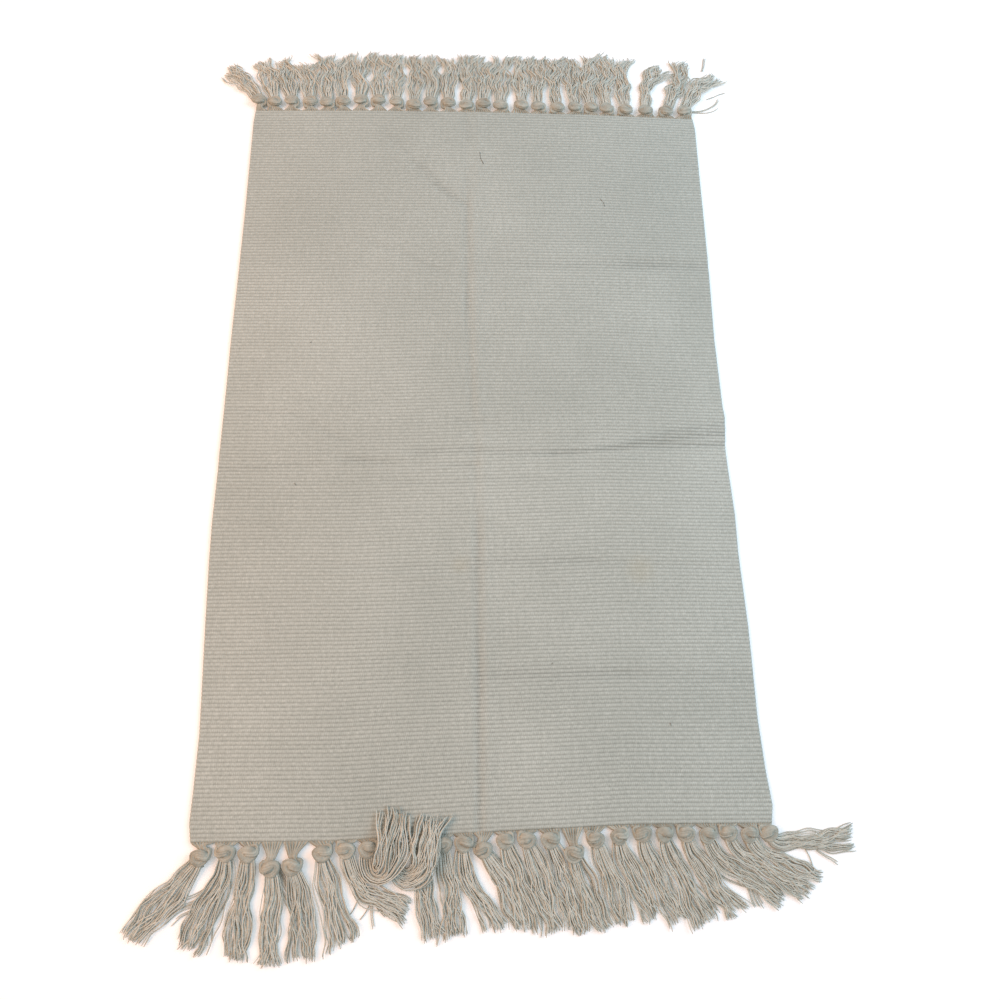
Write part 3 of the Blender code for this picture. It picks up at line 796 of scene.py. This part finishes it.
class YarnBundle:
    """Gathers the yarns of one tassel and makes them one mesh."""

    def __init__(self):
        self.corners = []
        self.faces = []
        self.maps = []
        self.shades = []
        self.count = 0

    def add(self, points, radius, shade):
        """Adds one capped yarn round a line of points, narrowed at its far end."""
        way, side = directions(points)
        up = np.cross(way, side)
        turn = np.arange(YARN_SIDES) / YARN_SIDES * WHOLE_TURN
        size = np.full(len(points), radius)
        size[-1] *= YARN_TIP
        rings = (points[:, None, :]
                 + size[:, None, None] * (np.cos(turn)[None, :, None] * side[:, None, :]
                                          + np.sin(turn)[None, :, None] * up[:, None, :]))
        rings[..., 2] = np.maximum(rings[..., 2], 0.0)
        rows, sides = rings.shape[:2]
        index = self.count + np.arange(rows * sides).reshape(rows, sides)
        quads = np.stack([index[:-1], np.roll(index[:-1], -1, axis=1),
                          np.roll(index[1:], -1, axis=1), index[1:]], axis=-1).reshape(-1, 4)
        run = path_length(points)
        near_u = np.repeat(run[:-1], sides).reshape(rows - 1, sides)
        far_u = np.repeat(run[1:], sides).reshape(rows - 1, sides)
        low_v = np.broadcast_to(np.arange(sides) / sides, near_u.shape)
        high_v = low_v + 1 / sides
        maps = np.stack([np.stack([near_u, low_v], -1), np.stack([near_u, high_v], -1),
                         np.stack([far_u, high_v], -1), np.stack([far_u, low_v], -1)], axis=-2)
        self.corners.append(rings.reshape(-1, 3))
        self.faces += list(quads)
        self.maps.append(maps.reshape(-1, 2))
        for cap, at in ((index[0][::-1], 0.0), (index[-1], run[-1])):
            self.faces.append(cap)
            self.maps.append(np.stack([np.full(sides, at), np.arange(sides) / sides], axis=-1))
        self.shades.append(np.full(rows * sides, shade))
        self.count += rows * sides

    def finish(self, name, material):
        piece = mesh_piece(name, np.concatenate(self.corners), self.faces, material)
        layer = piece.data.uv_layers.new(name="yarn")
        layer.data.foreach_set("uv", np.concatenate(self.maps).ravel())
        shade = piece.data.attributes.new("yarn_shade", "FLOAT", "POINT")
        shade.data.foreach_set("value", np.concatenate(self.shades))
        return piece


def lying_path(knot, lean_knot, lean_tip, bend, reach, out):
    """The middle line of a tassel on the floor, from its knot to its tip."""
    part = np.linspace(0, 1, LYING_POINTS)
    lean = np.radians(lean_knot + (lean_tip - lean_knot) * smooth_step(part / bend))
    step = reach / (LYING_POINTS - 1)
    middle = (lean[1:] + lean[:-1]) / 2
    x = knot[0] + np.concatenate([[0], np.cumsum(np.sin(middle) * step)])
    y = knot[1] + out * np.concatenate([[0], np.cumsum(np.cos(middle) * step)])
    return np.stack([x, y, np.zeros(LYING_POINTS)], axis=1)


def add_knot(bundle, rng, knot, share, end_column, out, turn, tone):
    """The warps of one share of the cloth's end, gathered and tied."""
    hand = math.copysign(1.0, turn)
    # The two ends of the course stay where the neck and the tail are. What lies between
    # them is turned.
    loose = np.ones(len(KNOT_COURSE))
    loose[:2] = 0.0
    loose[-1] = 0.0
    lean = np.radians(turn * KNOT_LEAN) * loose
    course_x = KNOT_COURSE[:, 0] * hand * rng.uniform(*KNOT_WIDENED)
    course_y = KNOT_COURSE[:, 1] * rng.uniform(*KNOT_STRETCHED)
    centre = np.stack([knot[0] + course_x * np.cos(lean) - course_y * np.sin(lean),
                       knot[1] + out * (course_y * np.cos(lean) + course_x * np.sin(lean)),
                       KNOT_COURSE[:, 2]], axis=1)
    end_y = np.interp(knot[0], ENDS[:, 0], ENDS[:, end_column])
    centre = centre[1:] if abs(knot[1] - end_y) > LONG_NECK else centre[2:]
    side = directions(centre)[1]
    across = (np.arange(KNOT_STRANDS) + 0.5) / KNOT_STRANDS * 2 - 1
    for strand, place in enumerate(across):
        level = (1 if strand % 2 else -1) * math.sqrt(1 - 0.7 * place ** 2) * rng.uniform(0.7, 1.0)
        start_x = share[0] + (share[1] - share[0]) * (place + 1) / 2
        start_y = np.interp(start_x, ENDS[:, 0], ENDS[:, end_column])
        tied = centre + side * (place * out * BAND_HALF_WIDTH)
        tied[:, 2] += level * BAND_HALF_HEIGHT
        tied[:, 2] = np.maximum(tied[:, 2], STRAND_RADIUS)
        # A strand starts inside the cloth's end, a little under its middle.
        neck = [(start_x, start_y - out * 2.0, 1.9), (start_x, start_y + out * 0.5, 2.0 + 0.3 * level)]
        line = smooth_path(np.concatenate([neck, tied]), STRAND_POINTS)
        bundle.add(line, STRAND_RADIUS, rng.normal(tone, STRAND_UNEVEN))


def add_tail(bundle, rng, path, widths, crumple):
    """The loose yarns of one tassel: a few locks, each of some yarns that keep together."""
    run = path_length(path[:, :2])
    reach = run[-1]
    way, side = directions(path * (1, 1, 0))
    order = rng.permutation(LOCKS)
    for lock in range(LOCKS):
        lock_place = ((lock + 0.5) / LOCKS * 2 - 1) * LOCK_SPREAD + rng.normal(0, 0.05)
        lock_phases = rng.uniform(0, WHOLE_TURN, len(LOCK_WAVES))
        lock_reach = reach + rng.normal(0, 2.0 + 2.0 * crumple)
        lock_curl = rng.normal(0, 1.8 + 3.4 * crumple)
        lock_rise = rng.uniform(0, 1)
        for strand in range(YARNS_PER_LOCK):
            own_place = rng.uniform(-1, 1) * YARN_SPREAD
            level = (order[lock] + strand) % LAYERS
            length = lock_reach * (1 + rng.normal(0, 0.014)) + rng.normal(0, 1.0)
            at = np.linspace(2.0, length, TAIL_POINTS)
            line = np.stack([np.interp(at, run, path[:, axis]) for axis in range(3)], axis=1)
            line += np.maximum(at - reach, 0)[:, None] * way[-1]
            across = np.stack([np.interp(at, run, side[:, axis]) for axis in range(3)], axis=1)

            # Sideways: the yarn's place in its lock, its waves, and a curl at its tip. The
            # knot holds the first few millimetres straight.
            loose = smooth_step((at - 8) / 34)
            half = np.interp(at, widths[0] * reach, widths[1] / 2)
            phases = np.concatenate([lock_phases, rng.uniform(0, WHOLE_TURN, len(YARN_WAVES))])
            wander = sum((neat + more * crumple) * np.sin(at / wave * WHOLE_TURN + phase)
                         for (neat, more, wave), phase in zip(LOCK_WAVES + YARN_WAVES, phases))
            curl = np.clip((at / reach - CURL_START) / (1 - CURL_START), 0, 1.2) ** 2
            offset = ((lock_place + own_place) * half + wander * loose
                      + curl * (lock_curl + rng.normal(0, 0.9 + 0.4 * crumple)))
            line += across * offset[:, None]

            # Upwards: the yarn leaves the knot well over the floor and comes down to its
            # layer, arched and rippled where it is crumpled.
            held = 1 - smooth_step((at - 3) / 26)
            low = YARN_RADIUS + level * LAYER_RISE * (1 - 0.3 * at / length)
            arch = (0.3 + 2.6 * crumple * lock_rise) * np.sin(at / length * math.pi) ** 2
            ripple_phase = rng.uniform(0, WHOLE_TURN)
            ripple = (0.25 + 0.5 * crumple) * (1 + np.sin(at / RIPPLE_WAVE * WHOLE_TURN + ripple_phase))
            line[:, 2] += (low + (arch + ripple) * loose) * (1 - held)
            line[:, 2] += held * (KNOT_EXIT + KNOT_EXIT_LAYER * (level - 1) + 0.5 * own_place)
            line[:, 2] = np.maximum(line[:, 2], YARN_RADIUS * 0.9)
            # The tone is paler on a crumpled end and uneven at random. The lower layers are painted
            # darker and the upper ones paler: painted shade under the yarns above.
            shade = 0.32 + 0.16 * crumple + 0.06 * (level - 1) + rng.normal(0, 0.12)
            bundle.add(line, YARN_RADIUS * rng.uniform(0.88, 1.12), shade)


def add_strays(bundle, rng, yarns, places):
    """Some yarns side by side on the floor, along the same few places."""
    line = smooth_path([(x, y, 0.0) for x, y in places], STRAY_POINTS)
    side = directions(line)[1]
    part = np.linspace(0, 1, len(line))[:, None]
    for yarn in range(yarns):
        aside = (yarn - (yarns - 1) / 2) * STRAY_PITCH * (0.8 + 0.5 * part) + rng.normal(0, 0.8) * part
        own = line + side * aside
        own[:, 2] = YARN_RADIUS * (1.0 + yarn % 2)
        kept = rng.integers(STRAY_POINTS - 3, STRAY_POINTS + 1)
        bundle.add(own[:kept], YARN_RADIUS * 0.92, rng.normal(0.28, 0.08))


def knot_shares(rows, low, high):
    """Where each tassel's share of the warps starts and ends across the cloth."""
    centres = sorted(row[1] for row in rows)
    limits = [low] + [(a + b) / 2 for a, b in zip(centres, centres[1:])] + [high]
    return {centre: (limits[i] + 0.5, limits[i + 1] - 0.5) for i, centre in enumerate(centres)}


# Columns: end, way out from the cloth, column of its line in ENDS, tassels that lie out,
# tassels that double back, crumpling of the yarns, tone of the knots, seed, the cloth's
# two corners.
FRINGE_ENDS = (
    ("near", -1.0, 1, TASSELS_NEAR, TASSELS_TURNED, 0.30, 0.10, 11, (-297.3, 300.8)),
    ("far", 1.0, 2, TASSELS_FAR, (), 1.0, 0.12, 83, (-294.4, 301.6)),
)
yarn_cotton = cotton_yarn()
for end, out, column, lying, turned, crumple, tone, seed, corners in FRINGE_ENDS:
    shares = knot_shares(lying + turned, *corners)
    opening = 1.08 - 0.22 * crumple
    jobs = []
    for number, across, drop, lean, tip_lean, bend, reach, width, turn in lying:
        edge = np.interp(across, ENDS[:, 0], ENDS[:, column])
        knot = (across, edge + out * max(drop, LEAST_DROP))
        path = lying_path(knot, lean, tip_lean, bend, reach, out)
        widths = (LYING_PLACES, np.array((*LYING_THROAT, width * opening, width * LYING_TIP)))
        jobs.append((number, across, knot, path, widths, turn))
    for number, across, drop, width, turn, stations in turned:
        edge = np.interp(across, ENDS[:, 0], ENDS[:, column])
        knot = (across, edge + out * max(drop, LEAST_DROP))
        path = smooth_path([(knot[0], knot[1], 0.0)] + list(stations), TURNED_POINTS)
        widths = (TURNED_PLACES, np.array((*TURNED_THROAT, width, width)))
        jobs.append((number, across, knot, path, widths, turn))
    for number, across, knot, path, widths, turn in sorted(jobs, key=lambda job: job[0]):
        rng = np.random.default_rng(seed + number)
        bundle = YarnBundle()
        add_knot(bundle, rng, knot, shares[across], column, out, turn, tone)
        add_tail(bundle, rng, path, widths, crumple)
        for which, owner, yarns, places in STRAYS:
            if which == end and owner == number:
                add_strays(bundle, rng, yarns, places)
        tassel = bundle.finish(f"tassel_{end}_{number:02d}_yarns", yarn_cotton)
        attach(tassel, "root")
        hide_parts(f"tassel_{end}_{number:02d}")


# Floor
# A plain pale floor of matt paint. It gives off a little light of its own, so that it stays
# white beside the rug, where one of the tinted lamps can't reach it.
FLOOR_SIZE = 12.0
FLOOR_DROP = -0.0004
FLOOR_GLOW = 0.13
bpy.ops.object.select_all(action="DESELECT")
bpy.ops.mesh.primitive_plane_add(size=FLOOR_SIZE, location=(0.0, 0.0, FLOOR_DROP))
floor = bpy.context.object
floor.name = "floor"
floor_paint = bpy.data.materials.new("pale_matt_paint")
floor_paint.use_nodes = True
floor_shader = floor_paint.node_tree.nodes["Principled BSDF"]
floor_shader.inputs["Base Color"].default_value = linear_colour("fbfbfa")
floor_shader.inputs["Roughness"].default_value = 0.9
floor_shader.inputs["Emission Color"].default_value = linear_colour("fbfbfa")
floor_shader.inputs["Emission Strength"].default_value = FLOOR_GLOW
floor.data.materials.append(floor_paint)


# Light
# Soft studio light: a pale dome, a warm panel from the left and a cooler one from the right,
# which give the rug its warmer and its cooler side.
DOME_STRENGTH = 0.60
world = bpy.data.worlds.new("studio")
world.use_nodes = True
dome = world.node_tree.nodes["Background"]
dome.inputs["Color"].default_value = linear_colour("f4f6f8")
dome.inputs["Strength"].default_value = DOME_STRENGTH
bpy.context.scene.world = world
# Columns: name, place, aim, size, power, colour
PANELS = (
    ("panel_left", (-1.4, -0.05, 1.15), (-0.1, -0.15, 0.0), 1.3, 24.5, "ffbe92"),
    ("panel_right", (1.5, 0.4, 1.30), (0.1, -0.1, 0.0), 1.3, 26.0, "c2e4ff"),
)
for name, place, aim, size, power, tint in PANELS:
    lamp_data = bpy.data.lights.new(name, "AREA")
    lamp_data.energy = power
    lamp_data.size = size
    lamp_data.color = linear_colour(tint)[:3]
    lamp = bpy.data.objects.new(name, lamp_data)
    lamp.location = place
    aim_way = np.array(aim) - np.array(place)
    lamp.rotation_euler = Vector(aim_way).to_track_quat("-Z", "Y").to_euler()
    bpy.context.scene.collection.objects.link(lamp)
bpy.context.scene.view_settings.view_transform = "Standard"
